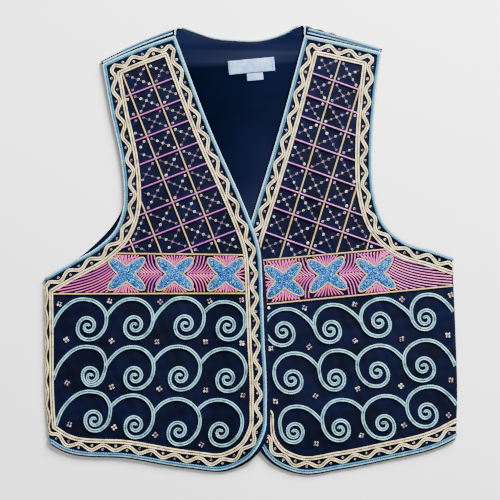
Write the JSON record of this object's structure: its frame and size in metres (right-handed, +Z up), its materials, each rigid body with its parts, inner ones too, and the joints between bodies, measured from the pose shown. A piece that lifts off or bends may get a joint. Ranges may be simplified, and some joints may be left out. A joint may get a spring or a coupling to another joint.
{
  "type": "vest",
  "caption": "Sleeveless embroidered folk vest laid flat, front up, with braided borders, scrolls and a bead-crossed trellis.",
  "frame": {"origin": "on the table under the middle of the vest", "axes": "+Y towards the collar, +Z up from the table, out of the fronts; -X is the wearer's right"},
  "size_m": [0.5118, 0.5558, 0.0143],
  "materials": {
    "cloth": "matt navy rayon",
    "lining": "navy lining with a soft sheen",
    "cream_braid": "cream soutache braid with a tan groove",
    "aqua_braid": "pale aqua soutache braid",
    "blue_cord": "satin blue cord with a pale rib",
    "pale_cord": "pale fine cord",
    "gold_cord": "fine gold and pink cords",
    "blue_fill": "dense blue bead fill with a cream and pink outline",
    "label": "woven label, left bare"
  },
  "bodies": {
    "root": {"back_lining": "lining", "back_neck_cord": "pale_cord", "back_shell": "cloth", "back_shoulder_cord_left": "pale_cord", "back_shoulder_cord_right": "pale_cord", "band_cord_foot_left": "gold_cord", "band_cord_foot_right": "gold_cord", "band_cord_top_left": "gold_cord", "band_cord_top_right": "gold_cord", "edge_cord_left": "blue_cord", "edge_cord_right": "blue_cord", "flower_left_1": "blue_fill", "flower_left_2": "blue_fill", "flower_left_3": "blue_fill", "flower_right_1": "blue_fill", "flower_right_2": "blue_fill", "flower_right_3": "blue_fill", "front_left": "cloth", "front_right": "cloth", "lattice_left": "gold_cord", "lattice_right": "gold_cord", "neck_label": "label", "scroll_left_11": "aqua_braid", "scroll_left_12": "aqua_braid", "scroll_left_13": "aqua_braid", "scroll_left_14": "aqua_braid", "scroll_left_21": "aqua_braid", "scroll_left_22": "aqua_braid", "scroll_left_23": "aqua_braid", "scroll_left_24": "aqua_braid", "scroll_left_31": "aqua_braid", "scroll_left_32": "aqua_braid", "scroll_left_33": "aqua_braid", "scroll_left_34": "aqua_braid", "scroll_right_11": "aqua_braid", "scroll_right_12": "aqua_braid", "scroll_right_13": "aqua_braid", "scroll_right_14": "aqua_braid", "scroll_right_21": "aqua_braid", "scroll_right_22": "aqua_braid", "scroll_right_23": "aqua_braid", "scroll_right_24": "aqua_braid", "scroll_right_31": "aqua_braid", "scroll_right_32": "aqua_braid", "scroll_right_33": "aqua_braid", "scroll_right_34": "aqua_braid", "size_tab": "label", "straight_braid_left": "cream_braid", "straight_braid_right": "cream_braid", "wavy_braid_left": "cream_braid", "wavy_braid_right": "cream_braid"}
  },
  "joints": []
}
